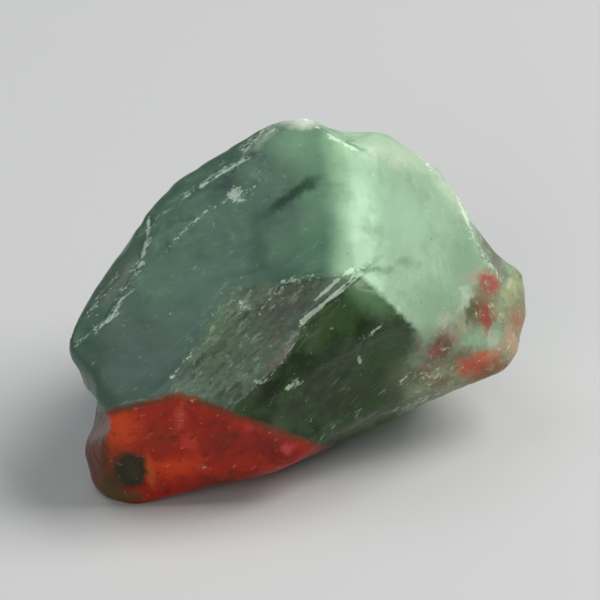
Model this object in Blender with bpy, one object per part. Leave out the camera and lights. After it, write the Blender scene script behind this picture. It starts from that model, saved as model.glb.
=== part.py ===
"""A rough bloodstone: one broken, lightly worn chunk of green chalcedony, 40 mm long.

The chunk is blocked out from its corners. Then flakes are struck off it, its edges are
chipped and worn, and its lowest break is levelled, which is the face that it rests on.
Metres, +Z up. The origin is on the floor, under the middle of the stone.
"""

import math
import random
from dataclasses import dataclass

import bmesh
import bpy
from mathutils import Matrix, Vector, noise

MM = 0.001

# Driving dimensions, in millimetres. The corners and flakes below give the form.
GRAIN = 0.30
CHIP_SPACING = 2.0
CHIP_RADIUS = (0.8, 2.4)
CHIP_BITE = (0.2, 0.6)
CHIP_STRETCH = (1.0, 2.0)
CHIPPED_FROM = math.radians(24)
EDGE_WEAR_ROUNDS = 8
WAVE_LENGTH = 7.0
WAVE_HEIGHT = 0.45
LONGEST_SCAR_WAVE = 4.0
SCAR_WAVE_PER_RADIUS = 0.6
SCAR_UNEVENNESS = 0.1
FLOOR_SIZE = 80.0
TRIANGLES = 8000

# Corners of the unworn block, in millimetres. x runs to the right, y away from the
# front and z up. The sole's corners lie just under the floor, to be levelled there.
RIDGE_CORNERS = {
    "apex": (-0.2, 6.1, 27.7),
    "ridge_top_left": (2.8, 2.2, 26.9),
    "ridge_top": (4.75, 2.5, 26.7),
    "ridge_top_right": (6.8, 3.7, 26.0),
    "brow_left": (2.8, -9.1, 20.05),
    "brow": (4.9, -9.4, 19.9),
    "brow_side": (6.5, -9.2, 18.9),
    "brow_right": (8.7, -9.4, 16.5),
}
FRONT_CORNERS = {
    "keel": (-3.4, -14.2, 13.1),
    "red_left": (-16.9, -16.1, 11.2),
    "red_top": (-11.0, -16.0, 12.5),
    "red_right": (1.6, -13.6, 6.2),
}
LEFT_CORNERS = {
    "left_tip": (-20.0, -8.2, 14.3),
    "left_tip_low": (-19.8, -9.8, 12.9),
    "left_side": (-19.0, -11.8, 11.3),
    "left_bevel_low": (-16.6, -8.5, 15.9),
    "left_bevel_mid": (-13.4, -3.0, 19.9),
    "left_bevel_high": (-8.1, 1.0, 23.6),
    "left_rim_low": (-17.4, -3.9, 16.7),
    "left_rim_mid": (-13.6, 1.4, 20.2),
    "left_rim_bulge": (-10.9, 4.0, 22.2),
    "left_rim_high": (-8.2, 5.4, 23.4),
    "left_rim_top": (-2.9, 7.2, 26.4),
}
RIGHT_CORNERS = {
    "crest_mid": (9.0, 3.8, 23.7),
    "crest_low": (11.3, 4.1, 21.5),
    "crest_end": (14.3, 4.2, 18.4),
    "shoulder": (7.2, 6.8, 25.7),
    "shoulder_slope": (10.1, 7.8, 23.9),
    "shoulder_drop": (12.6, 7.8, 21.7),
    "shoulder_foot": (14.3, 7.3, 19.4),
    "right_tip_top": (19.8, 5.0, 12.6),
    "right_tip": (20.2, 2.4, 9.4),
    "right_tip_low": (19.0, -0.2, 7.8),
    "right_heel": (17.7, -1.9, 6.7),
    "right_heel_inner": (15.3, -2.8, 6.0),
    "right_foot": (10.4, -6.6, 6.6),
}
FOOT_CORNERS = {
    "foot_mid": (-2.2, -13.4, 3.4),
    "foot_front": (-9.3, -13.7, 1.8),
    "foot_corner": (-14.4, -13.3, -0.1),
    "foot_left": (-16.8, -12.2, -0.1),
    "foot_left_back": (-18.0, -10.4, 0.4),
    "left_low": (-18.6, -9.4, 2.4),
    "sole_front": (-2.2, -7.5, -0.3),
    "sole_right_front": (1.6, -2.7, -0.3),
    "sole_right": (6.0, 2.0, -0.3),
    "sole_right_back": (9.5, 6.6, -0.3),
    "sole_back": (6.0, 12.6, -0.3),
    "sole_left_back": (-8.0, 11.6, -0.3),
    "sole_left": (-15.5, 2.6, -0.3),
}
BACK_CORNERS = {
    "back_left": (-16.2, 7.4, 7.6),
    "back_left_high": (-12.8, 8.0, 16.4),
    "back_mid": (-6.5, 15.0, 10.8),
    "back_right": (4.4, 16.1, 15.2),
    "back_tip": (13.8, 11.4, 8.8),
    "back_top": (-5.0, 11.2, 20.9),
    "back_low": (7.0, 14.6, 4.6),
}


@dataclass
class Flake:
    """A shell struck off the block, in millimetres.

    It leaves a hollow, which is round, or drawn out along a line.
    """

    deepest: tuple
    facing: tuple
    radius: float
    along: tuple = (1.0, 0.0, 0.0)
    stretch: float = 1.0


FLAKES = {
    "fold": Flake((-4.0, -11.7, 15.0), (0.0, -0.73, 0.68), 5.6, (0.72, 0.46, 0.52), 2.7),
    "under_brow": Flake((5.6, -9.0, 11.2), (0.42, -0.88, -0.2), 13.0, (0.8, 0.4, 0.2), 1.5),
    "right_under": Flake((7.9, -6.9, 5.9), (0.4, -0.55, -0.73), 9.0, (0.85, 0.5, 0.15), 2.0),
    "saddle": Flake((4.1, 6.8, 25.6), (0.2, 0.2, 0.96), 4.0, (0.0, 1.0, 0.0), 2.5),
    "left_notch": Flake((-17.4, -5.4, 4.7), (-0.93, -0.18, 0.31), 2.4, (0.0, 0.87, -0.5), 4.6),
    "right_rim": Flake((15.7, 6.3, 16.2), (0.7, 0.3, 0.65), 5.0, (0.0, 1.0, 0.0), 1.5),
    "crest_hollow": Flake((10.7, 6.1, 22.9), (0.6, 0.2, 0.78), 9.0, (0.6, 0.1, -0.8), 1.5),
    "back_hollow": Flake((-0.5, 12.9, 18.6), (0.05, 0.75, 0.66), 19.0),
    "back_left_hollow": Flake((-16.0, 0.6, 9.5), (-0.95, 0.25, 0.1), 16.0, (0.0, 1.0, -0.4), 1.4),
    "back_low_hollow": Flake((-4.0, 12.9, 5.6), (-0.2, 0.9, -0.45), 13.0, (1.0, 0.2, 0.2), 1.5),
    "back_step": Flake((-11.4, 10.6, 12.6), (-0.62, 0.75, 0.2), 7.0, (0.3, 0.1, 1.0), 1.7),
    "right_back_hollow": Flake((12.2, 9.2, 13.6), (0.72, 0.6, 0.3), 11.0, (0.5, -0.5, 0.7), 1.3),
}


def clear_scene():
    for obj in list(bpy.data.objects):
        bpy.data.objects.remove(obj, do_unlink=True)


def link(name, mesh):
    obj = bpy.data.objects.new(name, mesh)
    bpy.context.scene.collection.objects.link(obj)
    return obj


def make_block():
    """The unworn chunk: the convex solid through all the corners."""
    corners = {**RIDGE_CORNERS, **FRONT_CORNERS, **LEFT_CORNERS}
    corners.update({**RIGHT_CORNERS, **FOOT_CORNERS, **BACK_CORNERS})
    bm = bmesh.new()
    for point in corners.values():
        bm.verts.new(Vector(point) * MM)
    hull = bmesh.ops.convex_hull(bm, input=bm.verts)
    inside = [part for part in hull["geom_interior"] if isinstance(part, bmesh.types.BMVert)]
    bmesh.ops.delete(bm, geom=inside, context="VERTS")
    bmesh.ops.recalc_face_normals(bm, faces=bm.faces)
    mesh = bpy.data.meshes.new("stone")
    bm.to_mesh(mesh)
    bm.free()
    return link("stone", mesh)


def add_hollow(bm, flake, fineness):
    """The uneven ball that takes one flake away. Its lowest point is the hollow's deepest."""
    radius = flake.radius * MM
    facing = Vector(flake.facing).normalized()
    along = Vector(flake.along)
    along = (along - facing * along.dot(facing)).normalized()
    centre = Vector(flake.deepest) * MM + facing * radius
    ball = bmesh.ops.create_icosphere(bm, subdivisions=fineness, radius=radius)["verts"]
    bmesh.ops.transform(bm, verts=ball, matrix=Matrix.Scale(flake.stretch, 4, along))
    bmesh.ops.translate(bm, verts=ball, vec=centre)
    wave = min(SCAR_WAVE_PER_RADIUS * radius, LONGEST_SCAR_WAVE * MM)
    for vert in ball:
        outwards = (vert.co - centre).normalized()
        vert.co += outwards * noise.noise(vert.co / wave) * SCAR_UNEVENNESS * wave


def cut(stone, name, bm):
    """Takes the closed shapes in the bmesh off the stone, with a hidden cutter."""
    mesh = bpy.data.meshes.new(name)
    bm.to_mesh(mesh)
    bm.free()
    cutter = link(name, mesh)
    cutter.hide_render = True
    cutter.display_type = "WIRE"
    boolean = stone.modifiers.new(name, "BOOLEAN")
    boolean.operation = "DIFFERENCE"
    boolean.solver = "EXACT"
    boolean.object = cutter


def strike_flakes(stone):
    for name, flake in FLAKES.items():
        bm = bmesh.new()
        add_hollow(bm, flake, fineness=4)
        cut(stone, "flake_" + name, bm)


def clear_of(chip, others):
    """True if the chip's ball keeps off every ball in the list."""
    place = Vector(chip.deepest)
    reach = chip.radius * chip.stretch
    gaps = ((place - Vector(o.deepest)).length - reach - o.radius * o.stretch for o in others)
    return all(gap > 0 for gap in gaps)


def chip_edges(stone):
    """Small shells knocked out along the sharp edges, as in a bag of rolling stones."""
    dice = random.Random(33)
    block = bmesh.new()
    block.from_mesh(stone.data)
    chips = []
    for edge in block.edges:
        if edge.calc_face_angle() < CHIPPED_FROM:
            continue
        start, end = (vert.co / MM for vert in edge.verts)
        facing = (edge.link_faces[0].normal + edge.link_faces[1].normal).normalized()
        for _ in range(int((end - start).length / CHIP_SPACING)):
            bite = dice.uniform(*CHIP_BITE)
            deepest = start.lerp(end, dice.random()) - facing * bite
            stretch = dice.uniform(*CHIP_STRETCH)
            radius = dice.uniform(*CHIP_RADIUS)
            chip = Flake(deepest, facing, radius, end - start, stretch)
            if clear_of(chip, chips):
                chips.append(chip)
    block.free()
    bm = bmesh.new()
    for chip in chips:
        add_hollow(bm, chip, fineness=3)
    cut(stone, "edge_chips", bm)


def wear(stone):
    """Rolling takes the sharpness off the edges. The broken faces stay a little wavy."""
    skin = stone.modifiers.new("even_skin", "REMESH")
    skin.mode = "VOXEL"
    skin.voxel_size = GRAIN * MM
    skin.use_smooth_shade = True
    soften = stone.modifiers.new("worn_edges", "SMOOTH")
    soften.factor = 0.5
    soften.iterations = EDGE_WEAR_ROUNDS
    waves = bpy.data.textures.new("wavy_breaks", "CLOUDS")
    waves.noise_scale = WAVE_LENGTH * MM
    waves.noise_depth = 2
    wavy = stone.modifiers.new("wavy_breaks", "DISPLACE")
    wavy.texture = waves
    wavy.texture_coords = "LOCAL"
    wavy.strength = WAVE_HEIGHT * MM
    wavy.mid_level = 0.5


def thin_out(stone):
    """Leaves few triangles on the flat breaks and more along the edges."""
    graph = bpy.context.evaluated_depsgraph_get()
    dense = stone.evaluated_get(graph).to_mesh()
    dense.calc_loop_triangles()
    thin = stone.modifiers.new("few_triangles", "DECIMATE")
    thin.ratio = TRIANGLES / len(dense.loop_triangles)


def level_sole(stone):
    """The break that the stone rests on is cut level at the floor."""
    bm = bmesh.new()
    bmesh.ops.create_cube(bm, size=FLOOR_SIZE * MM)
    bmesh.ops.translate(bm, verts=bm.verts, vec=(0, 0, -FLOOR_SIZE / 2 * MM))
    cut(stone, "floor_cut", bm)


def green_chalcedony():
    material = bpy.data.materials.new("green_chalcedony")
    material.use_nodes = True
    surface = material.node_tree.nodes["Principled BSDF"]
    surface.inputs["Base Color"].default_value = (0.10, 0.17, 0.13, 1.0)
    surface.inputs["Roughness"].default_value = 0.38
    surface.inputs["Metallic"].default_value = 0.0
    return material


def main():
    clear_scene()
    stone = make_block()
    strike_flakes(stone)
    chip_edges(stone)
    wear(stone)
    thin_out(stone)
    level_sole(stone)
    stone.data.materials.append(green_chalcedony())


main()
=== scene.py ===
import math
import random

import bpy
import numpy as np
from mathutils import Matrix, Vector


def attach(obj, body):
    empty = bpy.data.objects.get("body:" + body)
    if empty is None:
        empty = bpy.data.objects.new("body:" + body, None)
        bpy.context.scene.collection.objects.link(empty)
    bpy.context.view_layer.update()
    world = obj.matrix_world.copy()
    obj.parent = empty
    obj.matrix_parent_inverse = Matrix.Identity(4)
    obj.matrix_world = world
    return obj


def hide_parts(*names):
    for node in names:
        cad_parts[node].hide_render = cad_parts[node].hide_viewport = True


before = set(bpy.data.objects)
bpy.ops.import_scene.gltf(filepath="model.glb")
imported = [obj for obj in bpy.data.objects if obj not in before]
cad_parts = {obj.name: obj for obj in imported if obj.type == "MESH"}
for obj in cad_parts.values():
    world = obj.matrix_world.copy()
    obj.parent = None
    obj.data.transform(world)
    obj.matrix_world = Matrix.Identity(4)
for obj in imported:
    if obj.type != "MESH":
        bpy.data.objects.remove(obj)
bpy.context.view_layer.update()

# The broken chunk: one piece of green chalcedony, 40 mm across, broken on every side.
# It is worked from a copy of the plain block, whose facets are ground to an even skin.
# Places on it are millimetres across and up, as seen from the front and 30 degrees above.
MM = 0.001
VIEW_TILT = math.radians(30)
AWAY = Vector((0, math.cos(VIEW_TILT), -math.sin(VIEW_TILT)))
ACROSS = Vector((1, 0, 0))
UPWARD = Vector((0, math.sin(VIEW_TILT), math.cos(VIEW_TILT)))
COARSE_GRAIN = 0.3
GRINDING_ROUNDS = 2
MERGED_WITHIN = 0.005
NOTCH = (-17.6, 0.7)
NOTCH_WORN = (1.6, 3.4)
NOTCH_ROUNDS = 80
SHIFTED_RIGHT = {
    # place, how far around it the skin is shifted in full, where that ends, by how much
    "left_block": ((-19.6, 3.7), 0.6, 2.8, 0.8),
    "right_lip": ((18.6, 5.2), 0.3, 3.8, 0.45),
}

bpy.ops.object.select_all(action="DESELECT")
stone = bpy.data.objects.new("bloodstone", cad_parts["stone"].data.copy())
bpy.context.scene.collection.objects.link(stone)
stone.data.materials.clear()
stone.select_set(True)
bpy.context.view_layer.objects.active = stone
bpy.ops.object.mode_set(mode="EDIT")
bpy.ops.mesh.select_all(action="SELECT")
bpy.ops.mesh.remove_doubles(threshold=MERGED_WITHIN * MM)
bpy.ops.object.mode_set(mode="OBJECT")


def finish_with(piece, kind, name, **settings):
    """Adds one modifier to a piece and applies it."""
    modifier = piece.modifiers.new(name, kind)
    for setting, value in settings.items():
        setattr(modifier, setting, value)
    bpy.ops.object.select_all(action="DESELECT")
    piece.select_set(True)
    bpy.context.view_layer.objects.active = piece
    bpy.ops.object.modifier_apply(modifier=name)


def points_of(mesh, what="co"):
    """The mesh's points, or their normals, as rows of x, y and z."""
    flat = np.zeros(len(mesh.vertices) * 3, np.float32)
    mesh.vertices.foreach_get(what, flat)
    return flat.reshape(-1, 3).astype(float)


def ramp(values, low, high):
    """0 up to low, 1 from high on, and a smooth rise between them."""
    share = np.clip((values - low) / (high - low), 0, 1)
    return share * share * (3 - 2 * share)


def seen_places():
    """Each point's place across and up as seen from the front, and how much it faces there."""
    skin = points_of(stone.data) / MM
    facing_away = points_of(stone.data, "normal") @ np.array(AWAY)
    return skin[:, 0], skin @ np.array(UPWARD), 1 - ramp(facing_away, 0.0, 0.35)


def add_zone(name, shares):
    """A vertex group of the stone, in steps of a hundredth."""
    zone = stone.vertex_groups.new(name=name)
    steps = np.rint(np.clip(shares, 0, 1) * 100).astype(int)
    for step in range(1, 101):
        zone.add(np.flatnonzero(steps == step).tolist(), step / 100, "REPLACE")


def add_zone_around(name, middle, whole, end):
    """A zone around a place seen from the front: full out to one distance, gone at the other."""
    across, upward, _ = seen_places()
    add_zone(name, 1 - ramp(np.hypot(across - middle[0], upward - middle[1]), whole, end))


def push_zone(zone, push, **settings):
    """Pushes the skin of a zone out by this many millimetres, or in where they are below 0."""
    settings = {"vertex_group": zone, "strength": push * MM, "mid_level": 0.0, **settings}
    finish_with(stone, "DISPLACE", zone, **settings)


finish_with(stone, "REMESH", "even_skin", mode="VOXEL", voxel_size=COARSE_GRAIN * MM)
finish_with(stone, "SMOOTH", "ground_skin", factor=0.5, iterations=GRINDING_ROUNDS)
for name, (middle, whole, end, shift) in SHIFTED_RIGHT.items():
    add_zone_around(name, middle, whole, end)
    push_zone(name, shift, direction="X")
add_zone_around("notch", NOTCH, *NOTCH_WORN)
finish_with(stone, "SMOOTH", "worn_notch", factor=0.5, iterations=NOTCH_ROUNDS, vertex_group="notch")

# Chips and flake scars: shells knocked out of the stone. Each is a drawn-out ball that
# bites into the skin. Many of them in a row make a bruised line.
CLEAR_OF_STONE = 0.1
BREAK_SLANT = math.radians(43.4)
SINGLE_CHIPS = {
    # place, radius, bite, slant in degrees, how far it is drawn out
    "rim_high": ((-6.6, 22.2), 1.3, 0.24, 35, 2.4),
    "rim_blob": ((-5.7, 20.1), 1.1, 0.16, 10, 1.3),
    "rim_blob_side": ((-4.6, 20.2), 0.8, 0.14, 60, 1.5),
    "keel_dot": ((-0.6, 3.9), 0.7, 0.24, 20, 1.2),
    "keel_dot_side": ((-3.4, 4.1), 0.6, 0.2, 50, 1.5),
    "scoop_crescent": ((6.0, 6.4), 1.7, 0.28, 110, 1.7),
    "scoop_slash": ((6.8, 8.7), 0.7, 0.2, 47, 3.2),
    "heel_dot": ((9.6, 4.8), 0.7, 0.2, 10, 1.3),
    "heel_pit": ((10.8, 5.6), 0.5, 0.2, 60, 1.2),
    "column_pit": ((6.9, 13.6), 0.9, 0.07, 0, 2.4),
    "column_flake": ((9.0, 14.2), 1.6, 0.06, 20, 1.6),
    "olive_dish": ((-14.5, -3.5), 3.0, 0.22, 90, 1.25),
    "red_pit": ((-10.4, 0.5), 0.6, 0.14, 30, 1.5),
    "red_tip_pit": ((-0.5, -2.2), 0.6, 0.14, 30, 1.4),
}
BRUISED_LINES = {
    # corners that it runs through, half its width, how far apart its chips lie, how white it is
    "apex": (((-4.8, 24.3), (-3.0, 25.6), (-1.4, 26.8), (0.4, 27.2), (1.9, 26.3)), 0.8, 1.1, 0.95),
    "rim_top": (((-4.6, 23.3), (-6.6, 22.3), (-8.6, 21.0)), 0.7, 0.8, 0.95),
    "rim_blob": (((-5.7, 20.1), (-5.3, 20.0)), 1.0, 0.5, 1.6),
    "rim_blob_side": (((-4.6, 20.4), (-4.2, 20.6)), 0.6, 0.6, 1.0),
    "rim_high": (((-8.6, 21.1), (-11.2, 18.9), (-13.1, 17.4)), 0.40, 1.1, 0.7),
    "rim_dashes": (((-6.8, 19.6), (-8.7, 18.2), (-10.4, 16.6), (-11.7, 15.2)), 0.35, 1.2, 0.9),
    "rim_mid": (((-13.0, 18.2), (-13.1, 16.4), (-13.7, 14.0)), 0.40, 0.7, 1.1),
    "rim_low": (((-13.7, 14.0), (-14.8, 12.2), (-16.0, 9.8), (-17.8, 8.4), (-19.0, 7.4)), 0.7, 0.9, 0.85),
    "rim_strip": (((-18.4, 9.6), (-17.0, 11.4), (-15.4, 13.8)), 1.1, 1.6, 0.6),
    "left_corner": (((-18.8, 4.6), (-18.2, 2.8), (-17.3, 1.5)), 0.6, 0.9, 0.9),
    "keel": (((0.2, 9.2), (-0.6, 7.4), (-1.4, 5.8), (-2.8, 4.7)), 0.4, 1.2, 0.1),
    "keel_blob": (((-0.9, 3.7), (-0.3, 4.0)), 0.7, 0.5, 1.3),
    "keel_blob_left": (((-3.7, 4.0), (-3.1, 4.2)), 0.5, 0.5, 1.1),
    "fold_top": (((-2.2, 11.6), (-1.0, 12.6), (1.2, 12.9)), 0.6, 0.8, 0.8),
    "fold_left": (((-2.2, 12.0), (-2.9, 10.9), (-3.4, 10.0)), 0.4, 1.1, 0.95),
    "band_cluster": (((-5.2, 10.9), (-4.4, 10.6)), 0.7, 0.8, 0.85),
    "crest": (((9.9, 24.0), (12.2, 21.9), (13.5, 20.5), (14.3, 18.7)), 0.5, 1.1, 0.8),
    "crest_low": (((14.3, 18.7), (14.9, 16.9), (16.0, 14.9), (17.4, 12.9)), 0.6, 0.9, 0.85),
    "heel": (((8.8, 3.9), (10.2, 4.9), (11.6, 4.4)), 0.9, 0.7, 0.75),
    "heel_rim": (((7.4, 1.2), (9.6, 2.0), (12.8, 3.3)), 0.6, 0.9, 0.8),
    "right_rim": (((18.2, 13.4), (19.2, 11.4), (19.1, 8.8), (17.6, 6.0), (15.4, 4.3)), 0.5, 1.0, 0.35),
}
LINE_CHIP_RADIUS = (0.3, 0.75)
LINE_CHIP_BITE = (0.05, 0.16)
LINE_CHIP_STRETCH = (1.2, 3.2)
# The splintered band: from where to where it runs along the break and beside it.
BAND_ALONG = (-6.5, 10.0)
BAND_BESIDE = (5.9, 11.5)
BAND_TOP = 12.4
BAND_SCARS = 60
SCAR_RADIUS = (0.5, 1.0)
SCAR_BITE = (0.06, 0.2)
SCAR_STRETCH = (3, 6)
HIDDEN_CHIPS = 95
HIDDEN_CHIP_RADIUS = (0.4, 1.6)
HIDDEN_CHIP_BITE = (0.06, 0.2)
HIDDEN_CHIP_STRETCH = (1, 2.6)
HEART_OF_STONE = Vector((0, 0, 12)) * MM
LOWEST_FACING = -0.7
RAGGEDNESS = 0.16
RAGGED_GRAIN = 0.7
SHELL_GRAIN = 0.12

dice = random.Random(11)
balls = []


def seen_at(across, upward):
    """The skin that shows at this place from the front, and its normal."""
    start = (ACROSS * across + UPWARD * upward) * MM - AWAY * CLEAR_OF_STONE
    hit, place, normal, _ = stone.ray_cast(start, AWAY)
    return (place, normal) if hit else None


def add_chip_ball(spot, radius, bite, line, drawn_out):
    """A ball drawn out along a line, set so that it bites this deep into the skin."""
    place, facing = spot
    side = (line - facing * line.dot(facing)).normalized()
    turn = Matrix((side, facing.cross(side), facing)).transposed()
    bpy.ops.mesh.primitive_ico_sphere_add(
        subdivisions=4,
        radius=radius * MM,
        location=place + facing * (radius - bite) * MM,
        rotation=turn.to_euler(),
        scale=(drawn_out, 1, 1),
    )
    balls.append(bpy.context.object)


def slanting(angle):
    """The direction that runs at this angle across the view from the front."""
    return ACROSS * math.cos(angle) + UPWARD * math.sin(angle)


def add_seen_chip(across, upward, radius, bite, slant, drawn_out):
    """A chip at a place seen from the front, drawn out at this slant."""
    spot = seen_at(across, upward)
    if spot:
        add_chip_ball(spot, radius, bite, slanting(slant), drawn_out)


def from_break(along, beside):
    """A place that is measured along and beside the break, as across and up."""
    across = along * math.cos(BREAK_SLANT) - beside * math.sin(BREAK_SLANT)
    return across, along * math.sin(BREAK_SLANT) + beside * math.cos(BREAK_SLANT)


for place, radius, bite, slant, drawn_out in SINGLE_CHIPS.values():
    add_seen_chip(*place, radius, bite, math.radians(slant), drawn_out)
for corners, half_width, gap, _ in BRUISED_LINES.values():
    for start, end in zip(corners, corners[1:]):
        start, end = Vector(start), Vector(end)
        run = end - start
        for step in range(max(1, round(run.length / gap))):
            place = start + run.normalized() * (step + dice.uniform(-0.4, 1.4)) * gap
            place += Vector((dice.gauss(0, 0.35), dice.gauss(0, 0.35))) * half_width
            slant = math.atan2(run.y, run.x) + dice.uniform(-0.7, 0.7)
            radius = dice.uniform(*LINE_CHIP_RADIUS)
            bite = dice.uniform(*LINE_CHIP_BITE)
            add_seen_chip(*place, radius, bite, slant, dice.uniform(*LINE_CHIP_STRETCH))
for _ in range(BAND_SCARS):
    place = from_break(dice.uniform(*BAND_ALONG), dice.uniform(*BAND_BESIDE))
    place = (place[0], min(place[1], BAND_TOP - 0.4))
    slant = BREAK_SLANT + dice.uniform(-0.1, 0.3)
    radius = dice.uniform(*SCAR_RADIUS)
    bite = dice.uniform(*SCAR_BITE)
    add_seen_chip(*place, radius, bite, slant, dice.uniform(*SCAR_STRETCH))
for _ in range(HIDDEN_CHIPS):
    heading = Vector([dice.gauss(0, 1) for _ in range(3)]).normalized()
    radius = dice.uniform(*HIDDEN_CHIP_RADIUS)
    bite = dice.uniform(*HIDDEN_CHIP_BITE)
    line = Vector([dice.gauss(0, 1) for _ in range(3)])
    start = heading * CLEAR_OF_STONE + HEART_OF_STONE
    hit, place, facing, _ = stone.ray_cast(start, -heading)
    seen_from_front = facing.dot(AWAY) < 0
    if hit and not seen_from_front and facing.z > LOWEST_FACING:
        add_chip_ball((place, facing), radius, bite, line, dice.uniform(*HIDDEN_CHIP_STRETCH))

bpy.ops.object.select_all(action="DESELECT")
for ball in balls:
    ball.select_set(True)
bpy.context.view_layer.objects.active = balls[0]
bpy.ops.object.join()
shells = bpy.context.object
bpy.ops.object.transform_apply(location=True, rotation=True, scale=True)
uneven = bpy.data.textures.new("uneven", "CLOUDS")
uneven.noise_scale = RAGGED_GRAIN * MM
uneven.noise_depth = 3
ragged_by = {"texture": uneven, "texture_coords": "LOCAL", "strength": RAGGEDNESS * MM}
finish_with(shells, "DISPLACE", "ragged", **ragged_by)
bpy.data.textures.remove(uneven)
finish_with(shells, "REMESH", "fused", mode="VOXEL", voxel_size=SHELL_GRAIN * MM)
finish_with(stone, "BOOLEAN", "shells", operation="DIFFERENCE", solver="EXACT", object=shells)
bpy.data.objects.remove(shells)

# Ledges: along these lines the stone broke off in a step. Walking along each line from its
# first corner, the skin on the left lies lower.
LEDGES = {
    # corners, depth, how far from the line the step runs out
    "rim": (((-18.6, 8.0), (-16.6, 9.6), (-14.9, 12.2), (-13.7, 14.4), (-13.1, 17.2)), 0.24, 1.3),
    "rim_high": (((-13.1, 17.2), (-11.0, 19.2), (-8.8, 21.0), (-6.6, 22.3), (-4.6, 23.4)), 0.20, 1.1),
    "crest": (((9.4, 24.3), (12.2, 21.9), (13.5, 20.3), (14.4, 18.4), (15.1, 16.6), (17.6, 12.8)), 0.22, 1.3),
    "keel": (
        ((5.4, 13.5), (2.2, 10.9), (0.2, 9.2), (-0.5, 7.4), (-1.3, 5.8), (-2.8, 4.6), (-4.8, 2.6)),
        0.35,
        2.6,
    ),
    "fold": (((5.2, 13.6), (1.4, 12.9), (-0.9, 12.7), (-2.2, 12.0), (-3.4, 10.2)), 0.28, 2.2),
}
LEDGE_FACE = 0.25
LEDGE_LEVEL_SHARE = 0.3
FINE_GRAIN = 0.15
WEAR_ROUNDS = 2


def beside_line(corners):
    """How far each point lies from a line, as seen from the front. Its right side is below 0."""
    nearest = np.full(len(across), np.inf)
    for start, end in zip(corners, corners[1:]):
        run = np.array(end) - np.array(start)
        right, up = across - start[0], upward - start[1]
        on_run = np.clip((right * run[0] + up * run[1]) / (run @ run), 0, 1)
        gap = np.hypot(right - on_run * run[0], up - on_run * run[1])
        side = np.sign(run[0] * up - run[1] * right)
        nearest = np.where(gap < np.abs(nearest), gap * side, nearest)
    return nearest


finish_with(stone, "REMESH", "fine_skin", mode="VOXEL", voxel_size=FINE_GRAIN * MM)
across, upward, in_front = seen_places()
for name, (corners, depth, runs_out) in LEDGES.items():
    beside = beside_line(corners)
    lower = ramp(beside, 0, LEDGE_FACE)
    lower = lower * (1 - ramp(beside, LEDGE_LEVEL_SHARE * runs_out, runs_out))
    add_zone(name, lower * in_front)
    push_zone(name, -depth)
finish_with(stone, "SMOOTH", "taken_off_sharpness", factor=0.5, iterations=WEAR_ROUNDS)

# The broken skin: hackly and splintered where the stone tore, crushed along its edges,
# and faintly rippled in the shell-shaped hollows. The sole that it rests on stays level.
ALONG_BREAK = Vector((0.72, 0.46, 0.52))
SOLE_KEPT_LEVEL = (0.3, 1.6)
RED_TOP_END = (-3.6, 0.75)
RED_TOP_FALL = 0.384
HEEL_FROM = (7.5, 10.5)
HEEL_TOP = (6, 9)
SCOOP_FROM = (1, 4)
SCOOP_TOP = (3.5, 5.5)
CRUSH_ROUNDS = 24
CRUSHED_HEIGHT = (0.018, 0.05)


def standing_out(rounds):
    """How far each point stands out of the skin around it, in mm. Hollows are negative."""
    worn = stone.copy()
    worn.data = stone.data.copy()
    bpy.context.scene.collection.objects.link(worn)
    finish_with(worn, "SMOOTH", "worn_down", factor=0.5, iterations=rounds)
    gap = points_of(stone.data) - points_of(worn.data)
    bpy.data.objects.remove(worn)
    return (gap * points_of(stone.data, "normal")).sum(axis=1) / MM


def roughen(zone, depth, pattern_kind, grain, drawn_out, **look):
    """Sinks the skin of a zone by a pattern, drawn out along the break."""
    pattern = bpy.data.textures.new(zone, pattern_kind)
    for setting, value in look.items():
        setattr(pattern, setting, value)
    bpy.ops.object.empty_add(rotation=ALONG_BREAK.to_track_quat("X", "Z").to_euler())
    guide = bpy.context.object
    guide.scale = Vector((drawn_out, 1, 1)) * grain * MM
    placed = {"texture_coords": "OBJECT", "texture_coords_object": guide}
    push_zone(zone, -depth, texture=pattern, **placed)
    bpy.data.objects.remove(guide)
    bpy.data.textures.remove(pattern)


across, upward, in_front = seen_places()
along = across * math.cos(BREAK_SLANT) + upward * math.sin(BREAK_SLANT)
beside = upward * math.cos(BREAK_SLANT) - across * math.sin(BREAK_SLANT)
off_sole = ramp(points_of(stone.data)[:, 2] / MM, *SOLE_KEPT_LEVEL)
behind = 1 - in_front
low_end = BAND_ALONG[0]
inner_side, outer_side = BAND_BESIDE
splintered = ramp(beside, inner_side - 0.9, inner_side + 0.5)
splintered *= 1 - ramp(beside, outer_side - 1.5, outer_side + 0.7)
between_ends = ramp(along, low_end - 1, low_end + 2)
between_ends *= 1 - ramp(upward, BAND_TOP - 0.3, BAND_TOP + 0.7)
splintered *= between_ends * in_front
above_red = upward - RED_TOP_END[1] + RED_TOP_FALL * (across - RED_TOP_END[0])
splintered *= ramp(above_red, 0.2, 1.2)
heel = ramp(across, *HEEL_FROM) * (1 - ramp(upward, *HEEL_TOP)) * in_front
scoop = ramp(across, *SCOOP_FROM) * (1 - ramp(beside, *SCOOP_TOP)) * (1 - heel) * in_front
crushed = ramp(standing_out(CRUSH_ROUNDS), *CRUSHED_HEIGHT)
add_zone("wavy", off_sole)
add_zone("splintered", splintered * off_sole)
hackly = np.maximum.reduce([0.35 * splintered, 0.6 * heel, 0.2 * scoop, 0.45 * behind])
add_zone("hackly", hackly * off_sole)
add_zone("rippled", np.maximum(scoop, 0.8 * behind) * off_sole)
add_zone("crushed", crushed * (1 - 0.85 * splintered) * off_sole)
roughen("wavy", 0.10, "CLOUDS", 4.0, 1.5, noise_depth=1)
roughen("splintered", 0.15, "CLOUDS", 1.0, 9.0, noise_depth=2, noise_type="HARD_NOISE")
roughen("hackly", 0.26, "CLOUDS", 0.9, 2.2, noise_depth=4, noise_type="HARD_NOISE")
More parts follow.
